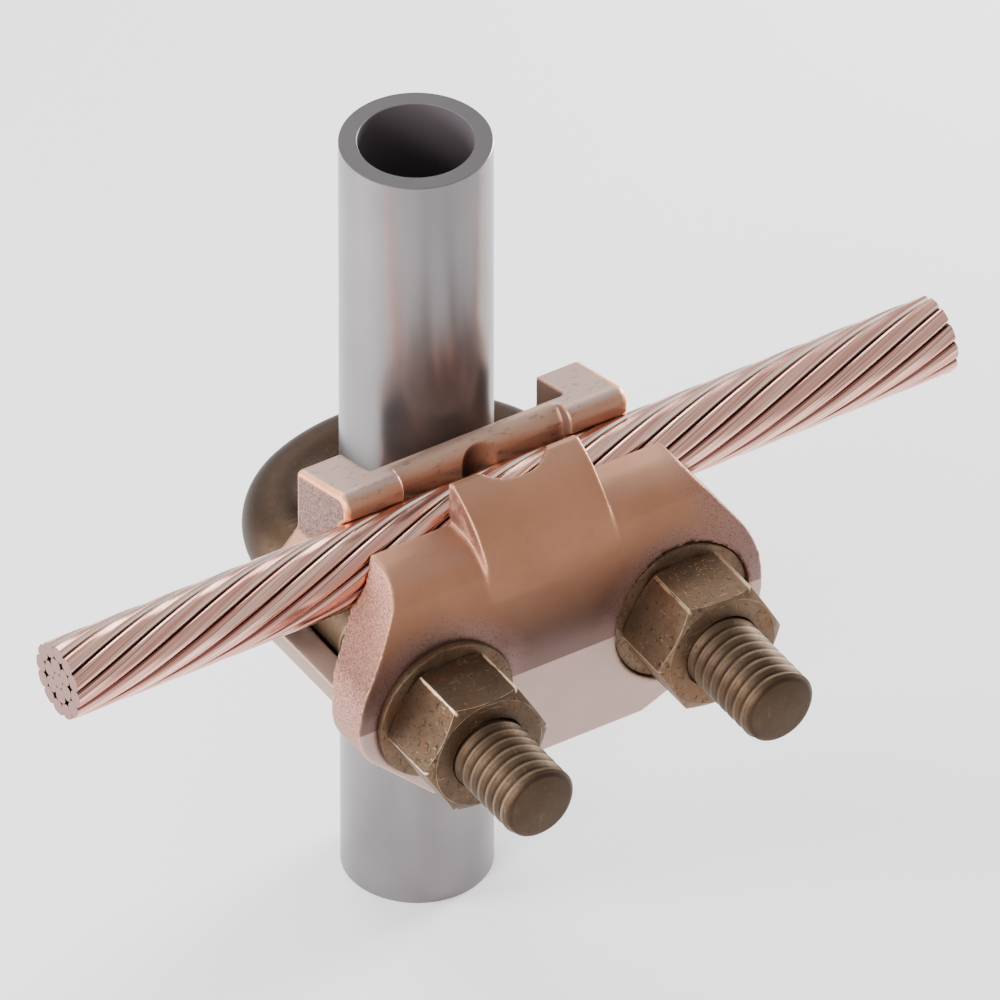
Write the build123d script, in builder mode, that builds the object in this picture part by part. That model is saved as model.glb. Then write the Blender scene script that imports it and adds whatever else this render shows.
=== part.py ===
from build123d import *
import os
from math import acos, cos, degrees, radians, sin, sqrt, tan

# U-bolt grounding connector that clamps a stranded conductor crosswise on a pipe.
# Millimetres. The pipe stands along Z with the origin at its middle, the conductor
# lies along X in front of it, and the legs of the U-bolt point to -Y, the front.
# "forward" means the distance in front of the pipe's axis, so it is minus Y.

# Pipe
pipe_diameter = 25.0
pipe_wall = 3.05
pipe_length = 148.2

# Stranded conductor: a core wire, an inner layer and an outer layer
wire_diameter = 2.62
wire_gap = 0.04
wire_sides = 6
inner_wire_count = 6
outer_wire_count = 12
inner_lay = 140.0
inner_start_turn = 15.0
lay_steps_per_turn = 11
outer_lay = 116.0
conductor_length = 166.6
conductor_height = 15.9

# U-bolt
rod_diameter = 12.6
rod_sides = 16
thread_diameter = 13.1
leg_spacing = 45.4
leg_height = -2.4
leg_reach = 74.0
thread_start = 22.8
tip_chamfer = 0.9
bend_corner_radius = 18.0
bend_back_radius = 30.0
seat_gap = 0.02

# Washers and nuts
washer_diameter = 25.0
washer_thickness = 1.5
washer_bore = 13.9
nut_across_flats = 20.4
nut_height = 12.5
nut_corner_drop = 1.1
nut_turns = {"left": 0.0, "right": -1.5}
nut_bore_gap = 0.05
fastener_edge = 0.2

# Fits between the castings and what they hold
leg_hole_gap = 0.55
saddle_groove_gap = 0.06
cap_groove_gap = 0.3

# Pipe saddle, the casting between the pipe and the conductor
web_thickness = 6.0
vee_angle = 120.0
lug_inner = 18.4
lug_outer = 26.8
lug_back = 6.7
lug_back_height = 22.2
top_slope = 15.4
bar_back = 15.4
bar_half_length = 15.7
bar_forward = 19.4
lug_forward = 21.7
lug_bullnose = 2.3
bar_bullnose = 3.0
lug_edge = 0.9
pocket_floor = 15.9
boss_radius = 12.1
boss_top_angle = 49.0
shoulder_height = 10.9
ledge_half_length = 19.0
ledge_forward = 26.5
ear_forward = 12.0
heel_drop = 0.6
saddle_notch_radius = 5.2
saddle_notch_depth = 1.1

# Clamp cap, the outer casting. Its two ends are not alike
cap_front = 44.7
cap_thickness = 8.4
cap_bottom = -19.6
cap_crease = -1.7
cap_swell = 0.8
cap_brow_round = 2.7
cap_brow_forward = 40.6
cap_brow_height = 17.4
cap_top_forward = 32.7
cap_top_height = 21.1
cap_left_end = [
    ("line", (-27.6, 21.1)),
    ("line", (-36.4, 6.8)),
    ("arc", (-38.3, 2.8), (-38.8, -1.5)),
    ("arc", (-38.1, -5.4), (-36.2, -8.3)),
    ("line", (-24.6, -19.6)),
]
cap_right_end = [
    ("line", (27.2, 21.1)),
    ("line", (34.2, 10.9)),
    ("arc", (36.9, 5.2), (37.7, -0.6)),
    ("arc", (33.3, -13.0), (20.5, -17.2)),
    ("line", (15.0, -19.6)),
]
spotface_diameter = 25.3
spotface_depths = {"left": 0.5, "right": 2.3}
band_half_length = 12.0
lip_forward = 30.1
lip_height = 28.6
lip_thickness = 1.3
band_shoulder_forward = 36.6
band_shoulder_height = 24.2
band_foot_forward = 42.6
band_foot_height = 12.5
cap_notch_radius = 8.0
cap_notch_depth = 2.5
cap_notch_lean = 30.0

# Worked out from the sizes above
pipe_radius = pipe_diameter / 2
rod_radius = rod_diameter / 2
thread_radius = thread_diameter / 2
leg_x = leg_spacing / 2
wire_pitch = wire_diameter + wire_gap
conductor_radius = 2 * wire_pitch + wire_diameter / 2
saddle_groove_radius = conductor_radius + saddle_groove_gap
cap_groove_radius = conductor_radius + cap_groove_gap
conductor_forward = pipe_radius + web_thickness + saddle_groove_radius
bend_back = pipe_radius + seat_gap + rod_radius
bend_corner_x = leg_x - bend_corner_radius
bend_reach = bend_back_radius - bend_corner_radius
bend_turn = acos(bend_corner_x / bend_reach)
bend_corner_y = bend_back - bend_back_radius + bend_reach * sin(bend_turn)
leg_hole_radius = thread_radius + leg_hole_gap
nut_corner_radius = nut_across_flats / sqrt(3)
cap_back = cap_front - cap_thickness
cap_reach = leg_x + spotface_diameter
heel_forward = cap_back
heel_top = leg_height - heel_drop
vee_depth = (pipe_radius + seat_gap) / sin(radians(vee_angle / 2))
vee_half_width = (vee_depth - lug_back) * tan(radians(vee_angle / 2))
legs = [(-leg_x, leg_height), (leg_x, leg_height)]

os.makedirs("parts", exist_ok=True)

# Pipe
with BuildPart() as ground_pipe:
    with BuildSketch(Plane.XY.offset(-pipe_length / 2)):
        Circle(pipe_radius)
        Circle(pipe_radius - pipe_wall, mode=Mode.SUBTRACT)
    extrude(amount=pipe_length)
ground_pipe.part.label = "ground_pipe"
export_step(ground_pipe.part, "parts/ground_pipe.step")

# U-bolt: one round rod bent round the back of the pipe, thicker where it is threaded
with BuildPart() as u_bolt:
    with BuildLine(Plane.XY.offset(leg_height)):
        Line((-leg_x, -thread_start), (-leg_x, bend_corner_y))
        left_corner = CenterArc(
            (-bend_corner_x, bend_corner_y),
            bend_corner_radius,
            180,
            -degrees(bend_turn),
        )
        right_corner = CenterArc(
            (bend_corner_x, bend_corner_y),
            bend_corner_radius,
            degrees(bend_turn),
            -degrees(bend_turn),
        )
        ThreePointArc(left_corner @ 1, (0, bend_back), right_corner @ 0)
        Line((leg_x, bend_corner_y), (leg_x, -thread_start))
    with BuildSketch(Plane.XZ.offset(thread_start)):
        with Locations((-leg_x, leg_height)):
            RegularPolygon(rod_radius, rod_sides)
    sweep()
    with BuildSketch(Plane.XZ.offset(thread_start)):
        with Locations(*legs):
            Circle(thread_radius)
    extrude(amount=leg_reach - thread_start)
    tips = u_bolt.faces().filter_by(Axis.Y).group_by(Axis.Y)[0].edges()
    chamfer(tips, length=tip_chamfer)
u_bolt.part.label = "u_bolt"
export_step(u_bolt.part, "parts/u_bolt.step")

# Pipe saddle: bosses round the legs, a web with a vee for the pipe, a heel that the cap
# rocks on, and a bar that hooks over the back of the conductor between two lugs
slope_rise = tan(radians(top_slope))
lug_front_height = lug_back_height + (lug_forward - lug_back) * slope_rise
bar_brow_height = lug_back_height + (bar_forward - bar_bullnose - lug_back) * slope_rise
saddle_foot = leg_height - boss_radius
saddle_half_length = leg_x + boss_radius
boss_top_x = leg_x + boss_radius * cos(radians(boss_top_angle))
boss_top_height = leg_height + boss_radius * sin(radians(boss_top_angle))
with BuildPart() as pipe_saddle:
    with BuildSketch(Plane.YZ.offset(-saddle_half_length)) as saddle_side:
        with BuildLine():
            Polyline(
                (-lug_back, saddle_foot),
                (-lug_back, lug_back_height),
                (-lug_forward, lug_front_height),
                (-lug_forward, heel_top),
                (-heel_forward, heel_top),
                (-heel_forward, saddle_foot),
                close=True,
            )
        make_face()
        fillet(saddle_side.vertices().group_by(Axis.Y)[-1], radius=lug_bullnose)
    extrude(amount=2 * saddle_half_length)
    # The bar between the lugs stands further back
    with BuildSketch(Plane.YZ.offset(-bar_half_length)) as bar_setback:
        with BuildLine():
            bar_brow = ThreePointArc(
                (-bar_forward, bar_brow_height - bar_bullnose),
                (
                    -bar_forward + bar_bullnose * (1 - sqrt(0.5)),
                    bar_brow_height - bar_bullnose * (1 - sqrt(0.5)),
                ),
                (-bar_forward + bar_bullnose, bar_brow_height),
            )
            Polyline(
                bar_brow @ 1,
                (-bar_forward + bar_bullnose, lug_front_height),
                (-lug_forward, lug_front_height),
                (-lug_forward, heel_top),
                (-bar_forward, heel_top),
                bar_brow @ 0,
            )
        make_face()
    extrude(amount=2 * bar_half_length, mode=Mode.SUBTRACT)
    with BuildSketch(Plane.XZ.offset(lug_back)) as saddle_outline:
        with BuildLine():
            Polyline(
                (0, lug_front_height),
                (lug_outer, lug_front_height),
                (lug_outer, shoulder_height),
                (boss_top_x, boss_top_height),
            )
            ThreePointArc(
                (boss_top_x, boss_top_height),
                (leg_x + boss_radius, leg_height),
                (leg_x, saddle_foot),
            )
            Line((leg_x, saddle_foot), (0, saddle_foot))
            mirror(about=Plane.YZ)
        make_face()
    extrude(amount=heel_forward - lug_back, mode=Mode.INTERSECT)
    # The ends of the lugs are worn soft at the top and the front
    lug_ends = pipe_saddle.faces().filter_by(Axis.X).filter_by(
        lambda face: abs(face.center().X) > lug_outer - 0.1
    )
    lug_rims = lug_ends.edges().filter_by(
        lambda edge: edge.center().Z > shoulder_height + 0.1 and edge.center().Y < -lug_back - 0.1
    )
    fillet(lug_rims, radius=lug_edge)
    # In front of a thin ear at each end, the leg lies open in a half round trough
    with BuildSketch(Plane.XY.offset(heel_top)) as leg_windows:
        for side in (-1, 1):
            with Locations(
                (
                    side * (lug_outer + saddle_half_length) / 2,
                    -(ear_forward + lug_forward) / 2,
                )
            ):
                Rectangle(saddle_half_length - lug_outer, lug_forward - ear_forward)
    extrude(amount=lug_front_height - heel_top, mode=Mode.SUBTRACT)
    # Ledge under the conductor
    with BuildSketch(Plane.YZ.offset(-ledge_half_length)) as ledge:
        with BuildLine():
            Polyline(
                (-bar_back, pocket_floor),
                (-bar_back, heel_top),
                (-ledge_forward, heel_top),
                (-ledge_forward, conductor_height - saddle_groove_radius / 2),
                (-conductor_forward, conductor_height),
                close=True,
            )
        make_face()
    extrude(amount=2 * ledge_half_length)
    # Pocket behind the bar that lets the pipe in
    with BuildSketch(Plane.XY.offset(pocket_floor)) as pocket:
        with Locations((0, -(lug_back + bar_back) / 2)):
            Rectangle(2 * lug_inner, bar_back - lug_back)
    extrude(amount=lug_front_height - pocket_floor, mode=Mode.SUBTRACT)
    # Groove for the conductor
    with BuildSketch(Plane.YZ.offset(-lug_outer - boss_radius)) as groove:
        with Locations((-conductor_forward, conductor_height)):
            Circle(saddle_groove_radius)
    extrude(amount=2 * (lug_outer + boss_radius), mode=Mode.SUBTRACT)
    # Vee that seats pipes of several sizes
    with BuildSketch(Plane.XY.offset(leg_height - boss_radius)) as vee:
        with BuildLine():
            Polyline(
                (-vee_half_width, -lug_back),
                (0, -vee_depth),
                (vee_half_width, -lug_back),
                close=True,
            )
        make_face()
    extrude(amount=lug_front_height - leg_height + boss_radius, mode=Mode.SUBTRACT)
    # Small upright notch in the bar
    with BuildSketch(Plane.XY.offset(conductor_height)) as saddle_notch:
        with Locations((0, -bar_forward - saddle_notch_radius + saddle_notch_depth)):
            Circle(saddle_notch_radius)
    extrude(amount=lug_front_height - conductor_height, mode=Mode.SUBTRACT)
    # Leg holes
    with BuildSketch(Plane.XZ) as saddle_leg_holes:
        with Locations(*legs):
            Circle(leg_hole_radius)
    extrude(amount=heel_forward, mode=Mode.SUBTRACT)
pipe_saddle.part.label = "pipe_saddle"
export_step(pipe_saddle.part, "parts/pipe_saddle.step")

# Clamp cap: the front outline and the side outline, each drawn in full, cross to give the
# body, and the raised band over the conductor is a third outline
with BuildPart() as clamp_cap:
    with BuildSketch(Plane.XZ) as cap_outline:
        for cap_end in (cap_left_end, cap_right_end):
            with BuildLine():
                at = (0, cap_top_height)
                for kind, *stops in cap_end:
                    if kind == "line":
                        Line(at, stops[0])
                    else:
                        ThreePointArc(at, *stops)
                    at = stops[-1]
                Polyline(at, (0, cap_bottom), (0, cap_top_height))
            make_face()
    extrude(amount=cap_front)
    with BuildSketch(Plane.YZ.offset(-cap_reach)) as cap_side:
        with BuildLine():
            Polyline(
                (-cap_top_forward, cap_top_height),
                (-conductor_forward, cap_top_height),
                (-conductor_forward - cap_groove_radius, conductor_height - cap_groove_radius / 2),
                (-cap_back, leg_height + rod_radius / 2),
                (-cap_back, cap_bottom),
                (-cap_front, cap_bottom),
                (-cap_front, cap_crease),
            )
            ThreePointArc(
                (-cap_front, cap_crease),
                (-cap_front + cap_swell, (cap_crease + cap_brow_height) / 2),
                (-cap_brow_forward, cap_brow_height),
            )
            ThreePointArc(
                (-cap_brow_forward, cap_brow_height),
                (
                    -cap_brow_forward + cap_brow_round + 0.5,
                    cap_brow_height + cap_brow_round,
                ),
                (-cap_top_forward, cap_top_height),
            )
        make_face()
    extrude(amount=2 * cap_reach, mode=Mode.INTERSECT)
    with BuildSketch(Plane.YZ.offset(-band_half_length)) as band:
        with BuildLine():
            Polyline(
                (-band_foot_forward, band_foot_height),
                (-cap_back, cap_crease),
                (-cap_top_forward, conductor_height),
                (-lip_forward + lip_thickness, cap_top_height),
                (-lip_forward + lip_thickness, lip_height - lip_thickness / 3),
                (-lip_forward, lip_height),
            )
            ThreePointArc(
                (-lip_forward, lip_height),
                (-band_shoulder_forward, band_shoulder_height),
                (-band_foot_forward, band_foot_height),
            )
        make_face()
    extrude(amount=2 * band_half_length)
    with BuildSketch(Plane.YZ.offset(-cap_reach)) as cap_groove:
        with Locations((-conductor_forward, conductor_height)):
            Circle(cap_groove_radius)
    extrude(amount=2 * cap_reach, mode=Mode.SUBTRACT)
    notch_plane = Plane(
        origin=(0, -lip_forward, lip_height),
        x_dir=(1, 0, 0),
        z_dir=(0, -sin(radians(cap_notch_lean)), cos(radians(cap_notch_lean))),
    )
    with BuildSketch(notch_plane) as cap_notch:
        with Locations((0, cap_notch_radius - cap_notch_depth)):
            Circle(cap_notch_radius)
    extrude(amount=cap_notch_radius, both=True, mode=Mode.SUBTRACT)
    for side, side_name in ((-1, "left"), (1, "right")):
        with BuildSketch(Plane.XZ.offset(cap_front)):
            with Locations((side * leg_x, leg_height)):
                Circle(spotface_diameter / 2)
        extrude(amount=-spotface_depths[side_name], mode=Mode.SUBTRACT)
    with BuildSketch(Plane.XZ) as cap_leg_holes:
        with Locations(*legs):
            Circle(leg_hole_radius)
    extrude(amount=cap_front, mode=Mode.SUBTRACT)
clamp_cap.part.label = "clamp_cap"
export_step(clamp_cap.part, "parts/clamp_cap.step")

# Washers and hex nuts, one of each on each leg
for side, side_name in ((-1, "left"), (1, "right")):
    washer_seat = cap_front - spotface_depths[side_name]
    nut_seat = washer_seat + washer_thickness
    with BuildPart() as washer:
        with BuildSketch(Plane.XZ.offset(washer_seat)):
            with Locations((side * leg_x, leg_height)):
                Circle(washer_diameter / 2)
                Circle(washer_bore / 2, mode=Mode.SUBTRACT)
        extrude(amount=washer_thickness)
    washer.part.label = side_name + "_washer"
    export_step(washer.part, "parts/" + side_name + "_washer.step")

    with BuildPart() as nut:
        with BuildSketch(Plane.XZ.offset(nut_seat)):
            with Locations((side * leg_x, leg_height)):
                RegularPolygon(nut_corner_radius, 6, rotation=nut_turns[side_name])
        extrude(amount=nut_height)
        # The corners are turned down to a cone at both ends
        with BuildSketch(Plane.XY.offset(leg_height)) as nut_turning:
            with BuildLine():
                Polyline(
                    (side * leg_x, -nut_seat),
                    (side * leg_x + nut_across_flats / 2 - fastener_edge, -nut_seat),
                    (side * leg_x + nut_corner_radius, -nut_seat - nut_corner_drop),
                    (side * leg_x + nut_corner_radius, -nut_seat - nut_height + nut_corner_drop),
                    (side * leg_x + nut_across_flats / 2 - fastener_edge, -nut_seat - nut_height),
                    (side * leg_x, -nut_seat - nut_height),
                    close=True,
                )
            make_face()
        revolve(axis=Axis((side * leg_x, 0, leg_height), (0, -1, 0)), mode=Mode.INTERSECT)
        with BuildSketch(Plane.XZ.offset(nut_seat)):
            with Locations((side * leg_x, leg_height)):
                Circle(thread_radius + nut_bore_gap)
        extrude(amount=nut_height, mode=Mode.SUBTRACT)
    nut.part.label = side_name + "_nut"
    export_step(nut.part, "parts/" + side_name + "_nut.step")

# Conductor: straight core wire, and two layers of wires laid round it in opposite ways.
# Each laid wire is lofted through polygons that step round the conductor's axis, so its
# ends are square
with BuildPart() as core_wire:
    with BuildSketch(Plane.YZ.offset(-conductor_length / 2)):
        with Locations((-conductor_forward, conductor_height)):
            Circle(wire_diameter / 2)
    extrude(amount=conductor_length)
core_wire.part.label = "core_wire"
export_step(core_wire.part, "parts/core_wire.step")

layers = (
    ("inner", inner_wire_count, wire_pitch, inner_lay, 1, inner_start_turn),
    ("outer", outer_wire_count, 2 * wire_pitch, outer_lay, -1, 0.0),
)
for layer_name, count, layer_radius, lay, hand, start_turn in layers:
    steps = round(lay_steps_per_turn * conductor_length / lay)
    for number in range(count):
        with BuildPart() as wire:
            for step in range(steps + 1):
                along = conductor_length * step / steps
                turn = start_turn + 360 * (number / count + hand * along / lay)
                centre = (
                    layer_radius * cos(radians(turn)) - conductor_forward,
                    layer_radius * sin(radians(turn)) + conductor_height,
                )
                with BuildSketch(Plane.YZ.offset(along - conductor_length / 2)):
                    with Locations(centre):
                        RegularPolygon(wire_diameter / 2, wire_sides, rotation=turn)
            loft(ruled=True)
        wire.part.label = f"{layer_name}_wire_{number + 1}"
        export_step(wire.part, f"parts/{wire.part.label}.step")
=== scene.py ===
from math import acos, cos, pi, radians, sin, sqrt
from types import SimpleNamespace

import bpy
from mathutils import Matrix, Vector


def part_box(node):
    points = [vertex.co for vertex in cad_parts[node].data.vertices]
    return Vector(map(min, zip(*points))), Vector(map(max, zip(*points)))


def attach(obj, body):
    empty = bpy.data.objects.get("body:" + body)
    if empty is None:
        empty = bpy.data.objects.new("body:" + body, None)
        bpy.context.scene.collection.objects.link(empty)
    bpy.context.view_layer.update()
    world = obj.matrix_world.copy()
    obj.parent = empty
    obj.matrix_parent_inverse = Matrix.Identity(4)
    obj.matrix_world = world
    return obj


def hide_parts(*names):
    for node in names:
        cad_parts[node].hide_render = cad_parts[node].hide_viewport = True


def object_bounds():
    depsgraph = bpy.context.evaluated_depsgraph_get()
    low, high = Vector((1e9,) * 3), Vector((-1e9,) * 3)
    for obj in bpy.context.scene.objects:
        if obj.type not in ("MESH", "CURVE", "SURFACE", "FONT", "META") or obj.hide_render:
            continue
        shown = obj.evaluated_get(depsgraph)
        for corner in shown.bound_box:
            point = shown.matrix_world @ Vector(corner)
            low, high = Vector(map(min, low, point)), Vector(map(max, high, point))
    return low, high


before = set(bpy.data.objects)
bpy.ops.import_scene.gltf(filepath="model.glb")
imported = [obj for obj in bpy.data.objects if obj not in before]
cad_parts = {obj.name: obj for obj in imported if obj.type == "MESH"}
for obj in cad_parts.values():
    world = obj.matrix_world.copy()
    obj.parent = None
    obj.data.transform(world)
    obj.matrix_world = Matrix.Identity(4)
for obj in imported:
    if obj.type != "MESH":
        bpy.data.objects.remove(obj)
cad_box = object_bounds()

MM = 0.001

# Sizes shared with the solids, in metres
leg_x = 22.7 * MM
leg_height = -2.4 * MM
rod_radius = 6.3 * MM
thread_radius = 6.55 * MM
thread_start = 22.8 * MM
leg_reach = 74.0 * MM
bend_corner_radius = 18.0 * MM
bend_back_radius = 30.0 * MM
pipe_radius = 12.5 * MM
pipe_bore_radius = 9.45 * MM
seat_gap = 0.02 * MM
conductor_height = 15.9 * MM
conductor_forward = 25.19 * MM
conductor_length = 166.6 * MM
wire_radius = 1.31 * MM
inner_wire_count = 6
outer_wire_count = 12
inner_lay = 140.0 * MM
outer_lay = 116.0 * MM
nut_across_flats = 20.4 * MM
nut_corner_radius = nut_across_flats / sqrt(3)
nut_corner_drop = 1.1 * MM
washer_radius = 12.5 * MM
washer_bore_radius = 6.95 * MM
cap_crease = -1.7 * MM
notch_radius = 5.2 * MM
notch_forward = 23.5 * MM

# The two layers of wires are laid by opposite hands
inner_hand = 1
outer_hand = -1

# Detail that only this scene has
thread_pitch = 2.3 * MM
thread_depth = 0.72 * MM
thread_turns = 26
crest_width = 0.5 * MM
tip_chamfer = 1.0 * MM
collar_width = 0.7 * MM
collar_slope = 0.3 * MM
rod_lap = 0.3 * MM
pipe_rim = 0.12 * MM
nut_mouth = 0.2 * MM
casting_voxel = 0.38 * MM

# How finely round forms are divided
pipe_sides = 160
washer_sides = 128
rod_sides = 64
core_sides = 24
thread_steps = 48
lay_steps = 96


# Modelling by hand: small steps on Blender's own operators


def start(name, add, **settings):
    """Adds one primitive, alone in the selection, and opens it for editing."""
    bpy.ops.object.select_all(action="DESELECT")
    add(**settings)
    piece = bpy.context.object
    piece.name = name
    piece.data.name = name
    bpy.ops.object.mode_set(mode="EDIT")
    bpy.ops.mesh.select_all(action="SELECT")
    return piece


def close():
    """Leaves edit mode with every face turned outwards."""
    bpy.ops.mesh.select_all(action="SELECT")
    bpy.ops.mesh.normals_make_consistent(inside=False)
    bpy.ops.object.mode_set(mode="OBJECT")


def pick(piece, test):
    """Selects the vertices whose places pass a test, in edit mode."""
    bpy.ops.mesh.select_all(action="DESELECT")
    bpy.ops.object.mode_set(mode="OBJECT")
    for vertex in piece.data.vertices:
        vertex.select = test(piece.matrix_world @ vertex.co)
    bpy.ops.object.mode_set(mode="EDIT")


def only(piece):
    """Makes one piece the whole selection."""
    bpy.ops.object.select_all(action="DESELECT")
    piece.select_set(True)
    bpy.context.view_layer.objects.active = piece


def finish_with(piece, kind, **settings):
    """Adds a modifier and applies it at once."""
    only(piece)
    modifier = piece.modifiers.new(kind.title(), kind)
    for key, value in settings.items():
        setattr(modifier, key, value)
    bpy.ops.object.modifier_apply(modifier=modifier.name)


def settle(piece):
    """Puts a piece's place into its mesh."""
    only(piece)
    bpy.ops.object.transform_apply(location=True, rotation=True, scale=True)


def combine(piece, tool, operation):
    """Cuts, keeps or adds what a tool piece covers, and throws the tool away."""
    finish_with(piece, "BOOLEAN", object=tool, operation=operation, solver="EXACT")
    bpy.data.objects.remove(tool)


def smooth(piece, angle):
    """Shades a piece smooth across edges that turn by less than an angle in degrees."""
    only(piece)
    bpy.ops.object.shade_smooth_by_angle(angle=radians(angle))


def soften(piece, width, angle):
    """Rounds the edges that turn by more than an angle, in the piece's second finish."""
    finish_with(
        piece,
        "BEVEL",
        width=width,
        segments=2,
        limit_method="ANGLE",
        angle_limit=radians(angle),
        harden_normals=False,
        material=1,
    )
    smooth(piece, angle)


# For each axis, the turn that makes a circle face along it, and its direction
TURNS = {
    "X": ((0, pi / 2, 0), Vector((1, 0, 0))),
    "Y": ((pi / 2, 0, 0), Vector((0, 1, 0))),
    "Z": ((0, 0, 0), Vector((0, 0, 1))),
}


def turned(name, axis, centre, stations, sides=96):
    """A bar turned on a lathe: a circle drawn out through (place, radius) stations."""
    rotation, along = TURNS[axis]
    (place, radius), *others = stations
    across = Vector((1, 1, 1)) - along
    middle = Vector(centre) * across
    piece = start(
        name,
        bpy.ops.mesh.primitive_circle_add,
        vertices=sides,
        radius=radius,
        fill_type="NGON",
        location=middle + along * place,
        rotation=rotation,
    )
    for next_place, next_radius in others:
        move = along * (next_place - place)
        bpy.ops.mesh.extrude_region_move(TRANSFORM_OT_translate={"value": move})
        scale = along + across * (next_radius / radius)
        bpy.ops.transform.resize(value=scale, center_override=middle + along * next_place)
        place, radius = next_place, next_radius
    close()
    settle(piece)
    return piece


def mount(piece, body, materials, nodes):
    """Gives a piece its finishes, its body and the solids it stands for."""
    for index, material in enumerate(materials):
        if index < len(piece.data.materials):
            piece.data.materials[index] = material
        else:
            piece.data.materials.append(material)
    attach(piece, body)
    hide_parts(*nodes)


# Finishes


class Number:
    """A socket whose sums are written as Python expressions."""

    def __init__(self, finish, socket):
        self.finish = finish
        self.socket = socket

    def __add__(self, other):
        return self.finish.math("ADD", self, other)

    __radd__ = __add__

    def __sub__(self, other):
        return self.finish.math("SUBTRACT", self, other)

    def __rsub__(self, other):
        return self.finish.math("SUBTRACT", other, self)

    def __mul__(self, other):
        return self.finish.math("MULTIPLY", self, other)

    __rmul__ = __mul__

    def __pow__(self, other):
        return self.finish.math("POWER", self, other)

    def __abs__(self):
        return self.finish.math("ABSOLUTE", self)


class Finish:
    """One material, built node by node on its Principled shader."""

    # The sockets of a Mix node that a colour uses
    mix_share, mix_first, mix_second = 0, 6, 7
    mixed_colour = 2

    def __init__(self, name):
        self.material = bpy.data.materials.new(name)
        self.material.use_nodes = True
        self.tree = self.material.node_tree
        self.shader = self.tree.nodes["Principled BSDF"]
        self.place = self.node("TexCoord", output="Object")
        self.normal = self.node("TexCoord", output="Normal")
        self.pointiness = self.node("NewGeometry", output="Pointiness")
        self.x, self.y, self.z = self.parts(self.place)

    def node(self, kind, settings=None, sockets=None, output=0):
        """Any node: its type, its settings, then the values or links of its sockets."""
        made = self.tree.nodes.new("ShaderNode" + kind)
        for key, value in (settings or {}).items():
            setattr(made, key, value)
        for key, value in (sockets or {}).items():
            self.feed(made.inputs[key], value)
        return Number(self, made.outputs[output])

    def feed(self, socket, value):
        """Links a socket to a node's output, or sets its value."""
        if isinstance(value, Number):
            self.tree.links.new(value.socket, socket)
        else:
            socket.default_value = value

    def math(self, operation, *values):
        """One Math node on its values, in their order."""
        return self.node("Math", {"operation": operation}, dict(enumerate(values)))

    def parts(self, vector):
        """A vector's X, Y and Z as three numbers."""
        split = self.node("SeparateXYZ", sockets={"Vector": vector}).socket.node
        return [Number(self, split.outputs[index]) for index in range(3)]

    def vector(self, x, y, z):
        """Three numbers as one vector."""
        return self.node("CombineXYZ", sockets={"X": x, "Y": y, "Z": z})

    def from_leg(self):
        """How far a place lies from the axis of the nearer leg."""
        around = self.vector(abs(self.x) - leg_x, 0.0, self.z - leg_height)
        return self.node("VectorMath", {"operation": "LENGTH"}, {0: around}, output="Value")

    def between(self, value, low, high):
        """0 below low, 1 above high, and a smooth climb between."""
        settings = {"interpolation_type": "SMOOTHSTEP"}
        sockets = {"Value": value, "From Min": low, "From Max": high}
        return self.node("MapRange", settings, sockets)

    def band(self, value, foot, top, edge, end):
        """A climb from foot to top, and a fall from edge to end."""
        return self.between(value, foot, top) * (1 - self.between(value, edge, end))

    def noise(self, scale, detail=3.0, roughness=0.5, stretch=(1, 1, 1), place=None):
        """Cloudy noise of 0 to 1, long where its stretch is small."""
        where = self.node(
            "Mapping",
            sockets={"Vector": place or self.place, "Scale": stretch},
        )
        sockets = {"Vector": where, "Scale": scale, "Detail": detail, "Roughness": roughness}
        return self.node("TexNoise", sockets=sockets)

    def colour(self, value):
        """A colour as a socket takes it, whether it is linked or plain."""
        return value if isinstance(value, Number) else (*value, 1)

    def mix(self, share, first, second):
        """A colour between two others."""
        sockets = {
            self.mix_share: share,
            self.mix_first: self.colour(first),
            self.mix_second: self.colour(second),
        }
        return self.node("Mix", {"data_type": "RGBA"}, sockets, output=self.mixed_colour)

    def layers(self, colour, *coats):
        """A colour under coats, each a share and a colour, laid one over the other."""
        for share, coat in coats:
            colour = self.mix(share, colour, coat)
        return colour

    def relief(self, height, depth, strength):
        """A bump as deep as depth where height is 1."""
        sockets = {"Height": height, "Distance": depth, "Strength": strength}
        self.feed(self.shader.inputs["Normal"], self.node("Bump", sockets=sockets))

    def set(self, **sockets):
        """Feeds the shader's own sockets, and gives the material."""
        for key, value in sockets.items():
            name = key.replace("_", " ").title()
            if name in ("Base Color", "Emission Color"):
                value = self.colour(value)
            self.feed(self.shader.inputs[name], value)
        return self.material


def rgb(red, green, blue):
    """A screen colour of 0 to 255 as linear light."""
    return tuple(
        (c / 12.92 if c <= 0.04045 else ((c + 0.055) / 1.055) ** 2.4)
        for c in (red / 255, green / 255, blue / 255)
    )


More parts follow.
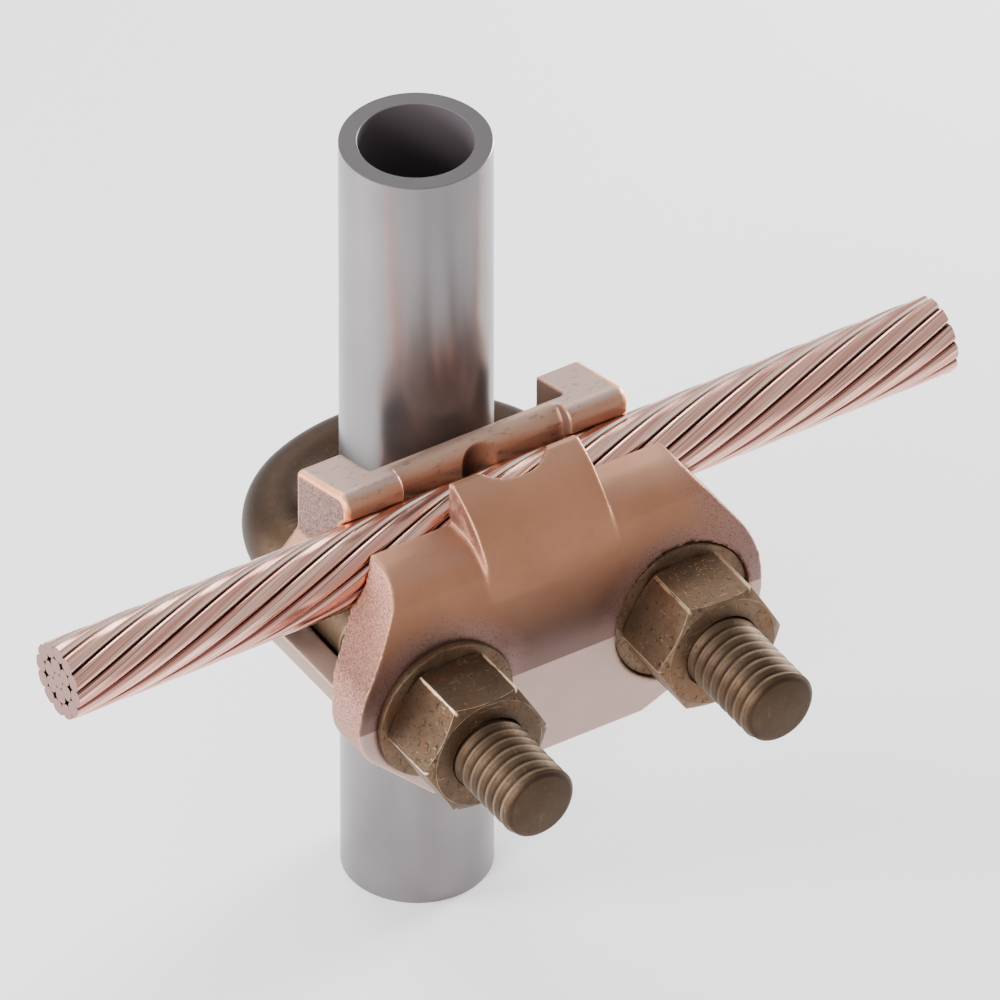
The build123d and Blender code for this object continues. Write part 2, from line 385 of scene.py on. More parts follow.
def pipe_finish():
    """Satin steel with faint lines along it, duller on its cut ends, and dull and dark in its
    bore, where the dark grey is painted shade.
    """
    steel = Finish("satin_pipe_steel")
    dull, bright = rgb(121, 117, 118), rgb(131, 127, 128)
    streak_grey, cut_grey, bore_shade_grey = rgb(102, 98, 99), rgb(88, 85, 86), rgb(78, 70, 74)

    streaks = steel.noise(scale=210, detail=2, stretch=(1, 1, 0.04))
    grain = steel.noise(scale=5200, detail=2, stretch=(1, 1, 0.3))
    clouds = steel.noise(scale=38)
    _, _, upward = steel.parts(steel.normal)
    cut = steel.between(abs(upward), 0.9, 0.97)
    # The bore's dark grey is painted shade inside the tube.
    inside = (steel.x**2 + steel.y**2) ** 0.5
    bore_edge = pipe_bore_radius + 0.02 * MM
    bore = 1 - steel.between(inside, bore_edge, bore_edge + 0.1 * MM)

    colour = steel.layers(
        steel.mix(steel.between(clouds, 0.3, 0.7), dull, bright),
        (steel.between(streaks, 0.4, 0.8) * 0.2, streak_grey),
        (cut, cut_grey),
        (bore, bore_shade_grey),
    )
    steel.relief(grain, 0.003 * MM, 0.3)
    return steel.set(
        base_color=colour,
        metallic=0.9 * (1 - bore),
        roughness=0.27 + 0.05 * streaks + 0.2 * cut + 0.45 * bore,
    )


def dark_bronze(name, worn=0.0, marks=1.0, pale=0.0):
    """Old silicon bronze: olive brown, mottled, scratched and pitted."""
    bronze = Finish(name)
    dark_brown, brown, painted_light_brown = rgb(76, 60, 48), rgb(92, 75, 60), rgb(150, 122, 98)
    rust_brown, olive, pit_brown = rgb(108, 70, 42), rgb(78, 66, 52), rgb(44, 34, 27)
    scratch_grey, nick_grey = rgb(168, 148, 124), rgb(150, 132, 112)
    rubbed_gold = rgb(252, 226, 190)

    clouds = bronze.noise(scale=95, detail=5, roughness=0.62)
    spots = bronze.noise(scale=420, detail=4, roughness=0.6)
    rust = bronze.noise(scale=150, detail=4, roughness=0.65)
    grit = bronze.noise(scale=3200, roughness=0.6)
    crosswise = bronze.noise(scale=1500, detail=2, stretch=(0.2, 1, 1.6))
    lengthwise = bronze.noise(scale=1700, detail=2, stretch=(1.5, 0.25, 0.2))
    scratches = bronze.math(
        "MAXIMUM",
        bronze.between(crosswise, 0.65, 0.7),
        bronze.between(lengthwise, 0.65, 0.7),
    )
    scratches = scratches * bronze.between(clouds, 0.45, 0.6) * marks
    holes = bronze.noise(scale=1250, detail=5, roughness=0.75)
    pits = (1 - bronze.between(holes, 0.375, 0.42)) * marks
    chips = bronze.noise(scale=1100, detail=4, roughness=0.7)
    nicks = bronze.between(chips, 0.62, 0.67) * marks * bronze.between(spots, 0.48, 0.6)

    colour = bronze.layers(
        bronze.mix(bronze.between(clouds, 0.34, 0.66), dark_brown, brown),
        # pale lightens the whole piece towards a pale brown: painted light for pieces that sit
        # in shade.
        (pale, painted_light_brown),
        (bronze.between(rust, 0.5, 0.66) * 0.5 * marks, rust_brown),
        (bronze.between(spots, 0.45, 0.75) * 0.45, olive),
        (scratches * 0.55, scratch_grey),
        (pits * 0.65, pit_brown),
        (nicks * 0.4, nick_grey),
    )
    if worn:
        _, forward, _ = bronze.parts(bronze.normal)
        along = 1 - bronze.between(abs(forward), 0.1, 0.35)
        patchy = bronze.between(bronze.noise(scale=260, roughness=0.6), 0.38, 0.56)
        rubbed = (0.2 + 0.8 * patchy) * (0.4 + 0.6 * along)
        colour = bronze.mix(worn * rubbed, colour, rubbed_gold)
    height = 0.5 * grit + 0.6 * spots - 1.2 * pits - 0.4 * scratches
    bronze.relief(height, (0.03 + 0.05 * marks) * MM, 0.8)
    bronze.set(metallic=1.0, roughness=0.4 + 0.16 * clouds + 0.14 * spots)
    return bronze, colour


def u_bolt_finish():
    """The bolt's bronze: painted highlights on the crests and painted shade in the roots of its
    thread, and a dark bend.
    """
    bronze, colour = dark_bronze("u_bolt_bronze", marks=0.3)
    crest_highlight_gold, root_shade_brown = rgb(196, 170, 140), rgb(44, 34, 26)
    bend_brown, tip_brown = rgb(58, 45, 37), rgb(66, 52, 42)

    forward = 0 - bronze.y
    radius = bronze.from_leg()
    threaded = bronze.between(forward, thread_start, thread_start + 0.4 * MM)
    # Thread crests get a painted highlight and roots painted shade.
    crest = bronze.between(radius, thread_radius - 0.08 * MM, thread_radius - 0.01 * MM)
    root = 1 - bronze.between(radius, thread_radius - 0.62 * MM, thread_radius - 0.36 * MM)
    barrel = 1 - bronze.between(forward, leg_reach - 0.05 * MM, leg_reach)
    bend = bronze.between(bronze.y, -4 * MM, 6 * MM)

    colour = bronze.layers(
        colour,
        (threaded * crest * barrel * 0.15, crest_highlight_gold),
        (threaded * root * barrel * 0.5, root_shade_brown),
        (bend * 0.8, bend_brown),
        ((1 - barrel) * 0.5, tip_brown),
    )
    return bronze.set(base_color=colour)


def fastener_finish(name, worn=0.0, pale=0.0, corners=0.0):
    """The nuts' and washers' bronze, with the six corners of a nut rubbed bright."""
    bronze, colour = dark_bronze(name, worn, pale=pale)
    if corners:
        corner_gold = rgb(250, 218, 180)
        radius = bronze.from_leg()
        angle = bronze.math("ARCTAN2", bronze.z - leg_height, abs(bronze.x) - leg_x)
        sixth = bronze.math("FRACT", angle * (3 / pi) + 0.5)
        gap = abs(sixth - 0.5) * (pi / 3) * radius
        tip = bronze.between(radius, nut_corner_radius - 0.9 * MM, nut_corner_radius - 0.4 * MM)
        patchy = bronze.between(bronze.noise(scale=200, roughness=0.6), 0.4, 0.6)
        uneven = gap + 0.2 * MM * (1 - patchy)
        line = (1 - bronze.between(uneven, 0.12 * MM, 0.36 * MM)) * tip
        colour = bronze.mix(line * corners, colour, corner_gold)
    return bronze.set(base_color=colour)


def cast_bronze(name, top_sheen):
    """Cast copper alloy: a satin skin, greyer where it lies level as a painted reflection of
    the light above, and grainy ends.
    """
    cast = Finish(name)
    brown, pink_brown, patch_brown = rgb(168, 118, 90), rgb(186, 132, 102), rgb(146, 104, 86)
    top_sheen_grey = rgb(170, 155, 149)
    sand_brown, sand_pink = rgb(146, 106, 98), rgb(208, 162, 146)

    across, _, upward = cast.parts(cast.normal)
    clouds = cast.noise(scale=60, detail=4, roughness=0.55)
    marks = SimpleNamespace(
        patches=cast.noise(scale=240, detail=5, roughness=0.6),
        grain=cast.noise(scale=3600, roughness=0.6),
        sand=cast.noise(scale=3200, detail=4, roughness=0.7),
        ends=cast.between(abs(across), 0.72, 0.9),
        edges=cast.between(cast.pointiness, 0.525, 0.56),
        hollows=1 - cast.between(cast.pointiness, 0.42, 0.48),
    )
    # Level faces are painted greyer: a painted reflection of the light from above.
    level = cast.between(upward, 0.75, 0.93)

    colour = cast.layers(
        cast.mix(cast.between(clouds, 0.3, 0.7), brown, pink_brown),
        (cast.between(marks.patches, 0.5, 0.75) * 0.3, patch_brown),
        (level * top_sheen, top_sheen_grey),
        (marks.ends, cast.mix(cast.between(marks.sand, 0.4, 0.6), sand_brown, sand_pink)),
    )
    return cast, colour, marks


def close_casting(cast, colour, marks):
    """The worn and painted-highlight edges, the painted shade in hollows, the bumps and the
    dullness that both castings share.
    """
    worn_and_highlight_pink, hollow_shade_brown = rgb(222, 170, 138), rgb(84, 56, 46)
    speckle = cast.between(marks.patches, 0.4, 0.62)
    colour = cast.layers(
        colour,
        # Edges turn a speckled pale pink: partly wear, partly a painted highlight.
        (marks.edges * (0.35 + 0.6 * speckle), worn_and_highlight_pink),
        # Hollows are darkened with painted shade.
        (marks.hollows * 0.5, hollow_shade_brown),
    )
    height = 0.35 * marks.grain + marks.ends * marks.sand * 1.4 + 1.2 * marks.patches
    cast.relief(height, 0.07 * MM, 0.6)
    dullness = 0.44 + 0.12 * marks.patches + 0.2 * marks.ends
    return cast.set(base_color=colour, metallic=0.92, roughness=dullness)


def saddle_finish():
    """The inner casting: pale lugs and bar, sandy lug ends with rubbed rims, painted shade in
    the bar's notch, and grey feet lightened with painted light.
    """
    cast, colour, marks = cast_bronze("saddle_casting", top_sheen=0.85)
    lug_pink, bar_pink, scuff_brown = rgb(196, 158, 138), rgb(188, 152, 130), rgb(86, 62, 52)
    sand_dark, sand_pale, end_brown = rgb(92, 74, 74), rgb(160, 128, 116), rgb(140, 112, 100)
    ear_brown, notch_shade_brown = rgb(148, 108, 86), rgb(62, 36, 28)
    feet_lit_grey, rubbed_copper = rgb(164, 142, 132), rgb(255, 184, 136)

    skin = 1 - marks.ends
    away = abs(cast.x)
    forward = 0 - cast.y
    lugs = cast.between(away, 15 * MM, 16 * MM)
    bar = (1 - lugs) * cast.between(cast.z, 12 * MM, 14 * MM)
    scratches = cast.noise(scale=700, detail=5, roughness=0.7, stretch=(0.5, 1, 1))
    scuffs = cast.between(scratches, 0.56, 0.64)

    sand = cast.mix(cast.between(marks.sand, 0.42, 0.58), sand_dark, sand_pale)
    crust = cast.mix(cast.between(away, 24 * MM, 25 * MM), end_brown, sand)
    ears = cast.between(away, 26.9 * MM, 27.1 * MM)

    # The bar's notch is darkened with painted shade, strongest on its left side.
    reach = (cast.x**2 + (forward - notch_forward) ** 2) ** 0.5
    notch = bar * (1 - cast.between(reach, notch_radius + 0.08 * MM, notch_radius + 0.25 * MM))
    shade = 1 - cast.between(cast.x, -2.6 * MM, 2.4 * MM)

    # The feet are painted a pale grey: their grey tone, lightened as painted light where the
    # conductor shades them.
    heel = cast.between(forward, 22 * MM, 24 * MM) * skin
    low = 1 - cast.between(cast.z, 5 * MM, 7 * MM)
    legs = low * cast.between(forward, 10 * MM, 12 * MM)
    feet = cast.math("MAXIMUM", heel, legs)

    uneven = away + 1.6 * MM * (marks.patches - 0.5)
    rim = cast.between(uneven, 25.75 * MM, 26.0 * MM)
    rim = rim * (1 - cast.between(away, 26.74 * MM, 26.8 * MM))
    rim = rim * cast.between(cast.z, 9.5 * MM, 10.5 * MM)
    rim = rim * cast.between(marks.grain, 0.3, 0.5)

    colour = cast.layers(
        colour,
        (lugs * 0.3, lug_pink),
        (bar * 0.75, bar_pink),
        (scuffs * 0.35 * skin, scuff_brown),
        (marks.ends, crust),
        (ears * 0.8, ear_brown),
        (notch * shade * 0.85, notch_shade_brown),
        (feet * 0.9, feet_lit_grey),
        (rim, rubbed_copper),
    )
    return close_casting(cast, colour, marks)


def cap_finish():
    """The outer casting: painted shade below its crown, greyer and speckled round the washers,
    a foot and flat front painted pale as a reflection.
    """
    cast, colour, marks = cast_bronze("cap_casting", top_sheen=0.15)
    streak_brown, streak_pink = rgb(112, 72, 58), rgb(176, 128, 106)
    lower_shade_brown, foot_reflection_brown, front_reflection_grey = rgb(62, 46, 42), rgb(136, 112, 106), rgb(180, 154, 145)
    speckled_zone_brown, speck_brown, tail_grey = rgb(146, 116, 110), rgb(66, 46, 44), rgb(138, 120, 112)

    skin = 1 - marks.ends
    step = marks.ends * (1 - cast.between(abs(cast.x), 14 * MM, 15 * MM))
    streaks = cast.between(marks.patches, 0.4, 0.6)
    # Below its crown the cap is darkened with painted shade.
    low = 1 - cast.between(cast.z, 2 * MM, 21 * MM)
    # The foot is painted lighter and the flat front below the crease pale grey: painted
    # reflection.
    foot = 1 - cast.between(cast.z, cap_crease, 7 * MM)
    flat = 1 - cast.between(cast.z, cap_crease - 0.12 * MM, cap_crease + 0.12 * MM)
    front = cast.between(0 - cast.y, 43.9 * MM, 44.3 * MM)
    tail = (1 - cast.between(cast.z, -8 * MM, 3 * MM)) * marks.ends

    # Round the washers and on the right shoulder the cap turns a greyer mauve brown with dark
    # specks.
    uneven = cast.from_leg() + 5 * MM * (marks.patches - 0.5)
    halo = 1 - cast.between(uneven, washer_radius, 18 * MM)
    shoulder = cast.between(cast.x, 22 * MM, 33 * MM)
    speckled_zone = cast.math("MAXIMUM", halo, shoulder) * skin * (1 - flat)
    specks = cast.between(marks.grain, 0.54, 0.62) * speckled_zone

    colour = cast.layers(
        colour,
        (step * 0.8, cast.mix(streaks, streak_brown, streak_pink)),
        (low * skin * 0.92, lower_shade_brown),
        (foot * skin * 0.45, foot_reflection_brown),
        (speckled_zone * 0.5, speckled_zone_brown),
        (specks * 0.6, speck_brown),
        (flat * front * 0.9, front_reflection_grey),
        (tail * 0.6, tail_grey),
    )
    return close_casting(cast, colour, marks)


def copper_finish(name, count, lay, hand):
    """Drawn copper: fine lines run along each wire, painted shade lies between the wires, and
    painted shade, dark reflection and highlight stripes run along each wire.
    """
    copper = Finish(name)
    pink, pale_pink, line_red = rgb(214, 150, 135), rgb(255, 210, 188), rgb(152, 92, 86)
    blotch_red, shade_red, reflection_line_brown = rgb(176, 120, 104), rgb(122, 58, 60), rgb(60, 30, 28)
    highlight_cream, groove_shade_black, cut_copper = rgb(255, 248, 234), rgb(14, 8, 8), rgb(122, 84, 76)

    half_length = conductor_length / 2
    upright = copper.z - conductor_height
    outward = copper.y + conductor_forward
    radius = (upright**2 + outward**2) ** 0.5
    angle = copper.math("ARCTAN2", upright, outward)
    twist = angle - hand * 2 * pi / lay * (copper.x + half_length)
    cosine = copper.math("COSINE", twist)
    sine = copper.math("SINE", twist)
    along_wire = copper.vector(cosine, sine, copper.x * 2)
    lines = copper.noise(scale=26, detail=4, roughness=0.6, place=along_wire)
    tone = copper.noise(scale=7, place=along_wire)
    blotches = copper.noise(scale=170)

    # Where a place lies across an outer wire, from 0 at one side to 1 at the other
    phase = copper.math("FRACT", twist * (count / (2 * pi)) + 0.5)
    # Across each wire: a painted shade stripe, a thin painted dark reflection line and a
    # painted cream highlight.
    shaded = copper.band(phase, 0.03, 0.06, 0.09, 0.13)
    reflection_line = copper.band(phase, 0.27, 0.29, 0.3, 0.32) * copper.between(tone, 0.4, 0.5)
    highlight_band = copper.band(phase, 0.82, 0.88, 0.93, 0.96)
    ends = copper.between(abs(copper.x), half_length - 0.05 * MM, half_length - 0.01 * MM)
    # The grooves between the wires are painted near black: painted shade.
    groove = (1 - copper.between(radius, 5.86 * MM, 6.14 * MM)) * (1 - ends)

    colour = copper.layers(
        copper.mix(copper.between(tone, 0.35, 0.7), pink, pale_pink),
        (copper.between(lines, 0.54, 0.66) * 0.65, line_red),
        (copper.between(blotches, 0.6, 0.8) * 0.2, blotch_red),
        (shaded * 0.85, shade_red),
        (reflection_line, reflection_line_brown),
        (highlight_band, highlight_cream),
        (groove * 0.97, groove_shade_black),
        (ends, cut_copper),
    )
    copper.relief(lines, 0.008 * MM, 0.25)
    return copper.set(
        base_color=colour, metallic=1.0, roughness=0.17 + 0.12 * lines + 0.3 * groove
    )


# Pieces


def build_pipe(finish):
    """A tube with both rims broken, outside and in the bore."""
    low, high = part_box("ground_pipe")
    pipe = turned(
        "steel_pipe",
        "Z",
        (0, 0, 0),
        [
            (low[2], pipe_radius - pipe_rim),
            (low[2] + pipe_rim, pipe_radius),
            (high[2] - pipe_rim, pipe_radius),
            (high[2], pipe_radius - pipe_rim),
        ],
        sides=pipe_sides,
    )
    bore = turned(
        "pipe_bore_tool",
        "Z",
        (0, 0, 0),
        [
            (low[2] - pipe_rim, pipe_bore_radius + 2 * pipe_rim),
            (low[2] + pipe_rim, pipe_bore_radius),
            (high[2] - pipe_rim, pipe_bore_radius),
            (high[2] + pipe_rim, pipe_bore_radius + 2 * pipe_rim),
        ],
        sides=pipe_sides,
    )
    combine(pipe, bore, "DIFFERENCE")
    smooth(pipe, angle=30)
    mount(pipe, "frame", [finish], ["ground_pipe"])


def threaded_leg(name, side):
    """A helical thread, cut off square, rounded at its tip and closed by a collar."""
    centre = (side * leg_x, 0, leg_height)
    first_turn = -thread_start + thread_pitch
    thread = start(
        name,
        bpy.ops.mesh.primitive_circle_add,
        vertices=6,
        radius=thread_pitch / 2,
        location=(side * leg_x, first_turn, leg_height),
    )

    # Half of the hexagon becomes the section of one tooth
    pick(thread, lambda at: at.x - side * leg_x < -0.01 * MM)
    bpy.ops.mesh.delete(type="VERT")
    pick(thread, lambda at: at.x - side * leg_x > thread_pitch / 4)
    bpy.ops.transform.resize(
        value=(1, crest_width / (thread_pitch / 2), 1),
        center_override=(0, first_turn, 0),
    )
    bpy.ops.mesh.select_all(action="SELECT")
    bpy.ops.transform.resize(
        value=(thread_depth / (thread_pitch * sqrt(3) / 4), 1, 1),
        center_override=(side * leg_x, 0, 0),
    )
    bpy.ops.transform.translate(value=(thread_radius - thread_depth, 0, 0))
    bpy.ops.object.mode_set(mode="OBJECT")
    finish_with(
        thread,
        "SCREW",
        axis="Y",
        angle=2 * pi,
        screw_offset=-thread_pitch,
        iterations=thread_turns,
        steps=thread_steps,
        render_steps=thread_steps,
    )

    bpy.ops.object.mode_set(mode="EDIT")
    bpy.ops.mesh.select_all(action="SELECT")
    bpy.ops.mesh.remove_doubles(threshold=0.02 * MM)
    for forward, outward in ((thread_start, 1), (leg_reach + MM, -1)):
        bpy.ops.mesh.select_all(action="SELECT")
        bpy.ops.mesh.bisect(
            plane_co=(0, -forward, 0),
            plane_no=(0, outward, 0),
            use_fill=True,
            clear_outer=True,
            threshold=0.001 * MM,
        )
    close()
    settle(thread)

    clear_radius = thread_radius + 0.1 * MM
    blank = turned(
        name + "_blank",
        "Y",
        centre,
        [
            (-thread_start + MM, clear_radius),
            (-leg_reach + tip_chamfer, clear_radius),
            (-leg_reach + 0.75 * tip_chamfer, thread_radius - 0.15 * MM),
            (-leg_reach + 0.3 * tip_chamfer, thread_radius - 0.6 * MM),
            (-leg_reach, thread_radius - 1.15 * MM),
        ],
    )
    combine(thread, blank, "INTERSECT")
    collar_end = -thread_start - collar_width
    collar = turned(
        name + "_collar",
        "Y",
        centre,
        [
            (-thread_start + collar_slope, rod_radius - 0.05 * MM),
            (-thread_start, thread_radius),
            (collar_end, thread_radius),
            (collar_end - collar_slope, thread_radius - thread_depth + 0.05 * MM),
        ],
    )
    combine(thread, collar, "UNION")
    return thread


def build_u_bolt(finish):
    """A rod bent round the back of the pipe in three arcs, with a thread on each leg."""
    back = pipe_radius + seat_gap + rod_radius
    corner_x = leg_x - bend_corner_radius
    reach = bend_back_radius - bend_corner_radius
    turn = acos(corner_x / reach)
    corner_y = back - bend_back_radius + reach * sin(turn)
    rod_start = thread_start + rod_lap
    rod = start(
        "bent_rod",
        bpy.ops.mesh.primitive_circle_add,
        vertices=rod_sides,
        radius=rod_radius,
        fill_type="NGON",
        location=(-leg_x, -rod_start, leg_height),
        rotation=(pi / 2, 0, 0),
    )
    straight = corner_y + rod_start
    bpy.ops.mesh.extrude_region_move(TRANSFORM_OT_translate={"value": (0, straight, 0)})
    corner_steps, back_steps = 24, 16
    arcs = (
        (-corner_x, corner_y, turn, corner_steps),
        (0, back - bend_back_radius, pi - 2 * turn, back_steps),
        (corner_x, corner_y, turn, corner_steps),
    )
    for x, y, angle, steps in arcs:
        bpy.ops.mesh.spin(
            steps=steps, angle=angle, center=(x, y, leg_height), axis=(0, 0, 1)
        )
    bpy.ops.mesh.extrude_region_move(TRANSFORM_OT_translate={"value": (0, -straight, 0)})
    close()
    settle(rod)
    legs = [threaded_leg("left_thread", -1), threaded_leg("right_thread", 1)]
    only(rod)
    for leg in legs:
        leg.select_set(True)
    bpy.ops.object.join()
    rod.name = "threaded_u_bolt"
    smooth(rod, angle=40)
    mount(rod, "frame", [finish], ["u_bolt"])


def build_nut(side_name, side, turn, finish, edge_finish):
    """A hex nut with both faces chamfered, turned a degree or so off square."""
    node = side_name + "_nut"
    low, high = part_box(node)
    centre = (side * leg_x, 0, leg_height)
    nut = start(
        side_name + "_hex_nut",
        bpy.ops.mesh.primitive_cylinder_add,
        vertices=6,
        radius=nut_corner_radius,
        depth=high[1] - low[1],
        location=(side * leg_x, (low[1] + high[1]) / 2, leg_height),
        rotation=(pi / 2, radians(30 + turn), 0),
    )
    close()
    settle(nut)
    face_radius = nut_across_flats / 2 - 0.25 * MM
    barrel_radius = nut_corner_radius + 0.02 * MM
    lens = turned(
        "nut_lens",
        "Y",
        centre,
        [
            (high[1], face_radius),
            (high[1] - nut_corner_drop, barrel_radius),
            (low[1] + nut_corner_drop, barrel_radius),
            (low[1], face_radius),
        ],
    )
    combine(nut, lens, "INTERSECT")
    bore = thread_radius + 0.05 * MM
    drill = turned(
        "nut_drill",
        "Y",
        centre,
        [
            (high[1] + MM, bore + nut_mouth + MM),
            (high[1] - nut_mouth, bore),
            (low[1] + nut_mouth, bore),
            (low[1] - MM, bore + nut_mouth + MM),
        ],
    )
    combine(nut, drill, "DIFFERENCE")
    mount(nut, node, [finish, edge_finish], [node])
    soften(nut, width=0.55 * MM, angle=22)


def build_washer(side_name, side, finish, edge_finish):
    """A flat washer that moves with the cap."""
    node = side_name + "_washer"
    low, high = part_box(node)
    centre = (side * leg_x, 0, leg_height)
    washer = turned(
        side_name + "_flat_washer",
        "Y",
        centre,
        [(high[1], washer_radius), (low[1], washer_radius)],
        sides=washer_sides,
    )
    hole = turned(
        "washer_drill",
        "Y",
        centre,
        [(high[1] + MM, washer_bore_radius), (low[1] - MM, washer_bore_radius)],
    )
    combine(washer, hole, "DIFFERENCE")
    mount(washer, "cap", [finish, edge_finish], [node])
    soften(washer, width=0.18 * MM, angle=30)


def recast(name, node, body, finish):
    """A casting from its own solid, with every edge rubbed round."""
    mesh = bpy.data.objects[node].data.copy()
    piece = bpy.data.objects.new(name, mesh)
    bpy.context.collection.objects.link(piece)
    mesh.materials.clear()
    only(piece)
    bpy.ops.object.mode_set(mode="EDIT")
    bpy.ops.mesh.select_all(action="SELECT")
    bpy.ops.mesh.remove_doubles(threshold=0.002 * MM)
    bpy.ops.object.mode_set(mode="OBJECT")
    finish_with(piece, "REMESH", mode="VOXEL", voxel_size=casting_voxel, use_smooth_shade=True)
    finish_with(piece, "SMOOTH", factor=0.5, iterations=2)
    mount(piece, body, [finish], [node])


def wire_profile(name, near, far, half_angle, round_outer, round_inner, turn=0.0):
    """One wire's cut end, pressed into its place in the ring from near to far."""
    centre = (-conductor_length / 2, -conductor_forward, conductor_height)
    wire = start(
        name,
        bpy.ops.mesh.primitive_plane_add,
        size=far - near,
        location=centre,
        rotation=(0, pi / 2, 0),
    )

    # One side of the plane is swept round the conductor into a slice of the ring
    pick(wire, lambda at: at.z < conductor_height)
    bpy.ops.mesh.delete(type="VERT")
    bpy.ops.mesh.select_all(action="SELECT")
    bpy.ops.transform.translate(value=(0, (near + far) / 2, (near - far) / 2))
    bpy.ops.transform.rotate(
        value=-half_angle - turn, orient_axis="X", center_override=centre
    )
    bpy.ops.mesh.spin(steps=3, angle=2 * half_angle, center=centre, axis=(1, 0, 0))
    bpy.ops.mesh.select_all(action="SELECT")
    bpy.ops.mesh.dissolve_faces(use_verts=False)

    def corner(at, reach):
        """Whether a place is one of the slice's two corners at this reach."""
        across = Vector((at.y + conductor_forward, at.z - conductor_height))
        middle = Vector((cos(turn), sin(turn)))
        at_end = abs(across.angle(middle) - half_angle) < radians(0.5)
        return at_end and abs(across.length - reach) < 0.01 * MM

    for reach, rounding, segments in ((near, round_inner, 3), (far, round_outer, 7)):
        pick(wire, lambda at: corner(at, reach))
        bpy.ops.mesh.bevel(offset=rounding, segments=segments, affect="VERTICES")
    bpy.ops.mesh.select_all(action="SELECT")
    bpy.ops.mesh.delete(type="ONLY_FACE")
    bpy.ops.object.mode_set(mode="OBJECT")
    return wire


def lay_wires(kind, count, profile, lay, hand, finish):
    """Twists the first wire round the conductor, and copies it round the layer."""
    finish_with(
        profile,
        "SCREW",
        axis="Z",
        angle=hand * 2 * pi * conductor_length / lay,
        screw_offset=conductor_length,
        iterations=1,
        steps=lay_steps,
        render_steps=lay_steps,
    )
    bpy.ops.object.mode_set(mode="EDIT")
    bpy.ops.mesh.select_all(action="SELECT")
    bpy.ops.mesh.fill_holes(sides=0)
    close()
    smooth(profile, angle=40)
    for number in range(count):
        wire = profile.copy()
        wire.data = profile.data.copy()
        wire.name = f"{kind}_strand_{number + 1}"
        bpy.context.collection.objects.link(wire)
        only(wire)
        wire.rotation_euler.rotate_axis("Z", 2 * pi * number / count)
        settle(wire)
        mount(wire, "frame", [finish], [f"{kind}_wire_{number + 1}"])
    bpy.data.objects.remove(profile)


def build_conductor():
    """The straight middle wire, and the two layers of wires laid round it."""
    half_length = conductor_length / 2
    core = turned(
        "core_strand",
        "X",
        (0, -conductor_forward, conductor_height),
        [(-half_length, wire_radius), (half_length, wire_radius)],
        sides=core_sides,
    )
    smooth(core, angle=40)
    inner = copper_finish("inner_copper", inner_wire_count, inner_lay, inner_hand)
    outer = copper_finish("outer_copper", outer_wire_count, outer_lay, outer_hand)
    mount(core, "frame", [inner], ["core_wire"])
    inner_profile = wire_profile(
        "inner_profile",
        near=1.34 * MM,
        far=3.98 * MM,
        half_angle=radians(29.8),
        round_outer=1.55 * MM,
        round_inner=0.55 * MM,
        turn=radians(15),
    )
    lay_wires("inner", inner_wire_count, inner_profile, inner_lay, inner_hand, inner)
    outer_profile = wire_profile(
        "outer_profile",
        near=4.0 * MM,
        far=6.6 * MM,
        half_angle=radians(14.9),
        round_outer=1.05 * MM,
        round_inner=0.85 * MM,
    )
    lay_wires("outer", outer_wire_count, outer_profile, outer_lay, outer_hand, outer)


# Studio


def look_at(thing, target):
    """Turns a camera or a light towards a place."""
    direction = Vector(target) - thing.location
    thing.rotation_euler = direction.to_track_quat("-Z", "Y").to_euler()


def build_camera():
    """A camera far off with a long lens, so that its view is nearly parallel."""
    azimuth, elevation = radians(-32.1), radians(39.0)
    frame_width = 161.3 * MM
    aim_rightward = 13.47 * MM
    lens, sensor_width = 1500, 36
    distance = frame_width * lens / sensor_width
    towards = Vector(
        (
            cos(elevation) * sin(azimuth),
            -cos(elevation) * cos(azimuth),
            sin(elevation),
        )
    )
    aim = Vector((cos(azimuth), sin(azimuth), 0)) * aim_rightward
    bpy.ops.object.camera_add(location=aim + towards * distance)
    camera = bpy.context.object
    camera.name = "photo_camera"
    camera.data.lens = lens
    camera.data.sensor_width = sensor_width
    camera.data.clip_end = distance * 3
    look_at(camera, aim)
    bpy.context.scene.camera = camera


def softbox(name, place, width, height, power, target=(0, -0.02, 0)):
    """A soft light of its own width and height, turned towards a target."""
    bpy.ops.object.light_add(type="AREA", location=place)
    box = bpy.context.object
    box.name = name
    box.data.shape = "RECTANGLE"
    box.data.size = width
    box.data.size_y = height
    box.data.energy = power
    look_at(box, target)


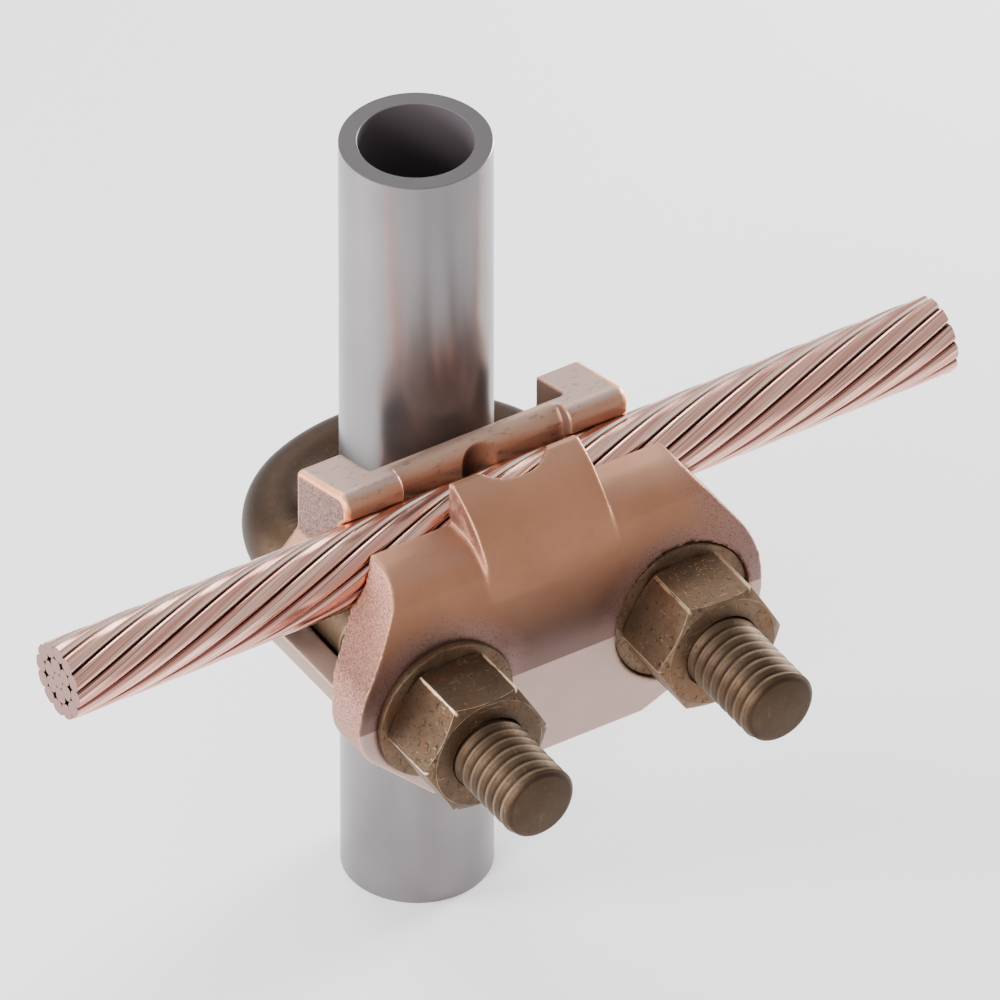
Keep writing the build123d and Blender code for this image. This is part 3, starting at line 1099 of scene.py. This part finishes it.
def build_studio():
    """A pale room, four soft lights and a pale floor under the pipe."""
    world = bpy.data.worlds.new("pale_room")
    bpy.context.scene.world = world
    world.use_nodes = True
    background = world.node_tree.nodes["Background"]
    background.inputs["Color"].default_value = (0.98, 0.985, 1.0, 1)
    background.inputs["Strength"].default_value = 0.8
    softbox("key_light", (-0.8, -0.35, 0.35), width=0.4, height=0.5, power=9.0)
    softbox(
        "left_light",
        (-0.3, 0.14, 0.1),
        width=0.15,
        height=0.15,
        power=1.5,
        target=(-0.12, 0.055, -0.07),
    )
    softbox(
        "right_light",
        (0.55, 0.12, 0.12),
        width=0.25,
        height=0.2,
        power=6.0,
        target=(0, 0, -0.03),
    )
    softbox("back_light", (0.1, 0.7, 0.6), width=0.6, height=0.4, power=5.0)
    floor_size = 14.0
    floor = start(
        "studio_floor",
        bpy.ops.mesh.primitive_plane_add,
        size=floor_size,
        location=(0, 0, cad_box[0][2]),
    )
    close()
    paint = Finish("pale_floor")
    floor.data.materials.append(
        paint.set(
            base_color=(0.92, 0.92, 0.92),
            roughness=0.8,
            emission_color=(1.0, 1.0, 1.0),
            emission_strength=0.2,
        )
    )


build_camera()
build_studio()

build_pipe(pipe_finish())
build_u_bolt(u_bolt_finish())
# The washers are made paler: painted light where they sit in shade.
washer_bronze = fastener_finish("washer_bronze", pale=0.32)
rim_bronze = fastener_finish("washer_rim_bronze", worn=0.16)

# The nuts differ: how far each is turned, in degrees, how much paler it is made with painted
# light, and how worn it is
for side_name, side, nut_turn, pale, edge_wear, corners in (
    ("left", -1, 0.7, 0.1, 0.7, 0.95),
    ("right", 1, 1.5, 0.4, 0.4, 0.4),
):
    nut_bronze = fastener_finish(side_name + "_nut_bronze", pale=pale, corners=corners)
    edge_bronze = fastener_finish(side_name + "_nut_edges", edge_wear, corners=corners)
    build_nut(side_name, side, nut_turn, nut_bronze, edge_bronze)
    build_washer(side_name, side, washer_bronze, rim_bronze)
recast("saddle_casting", "pipe_saddle", "frame", saddle_finish())
recast("cap_casting", "clamp_cap", "cap", cap_finish())
build_conductor()
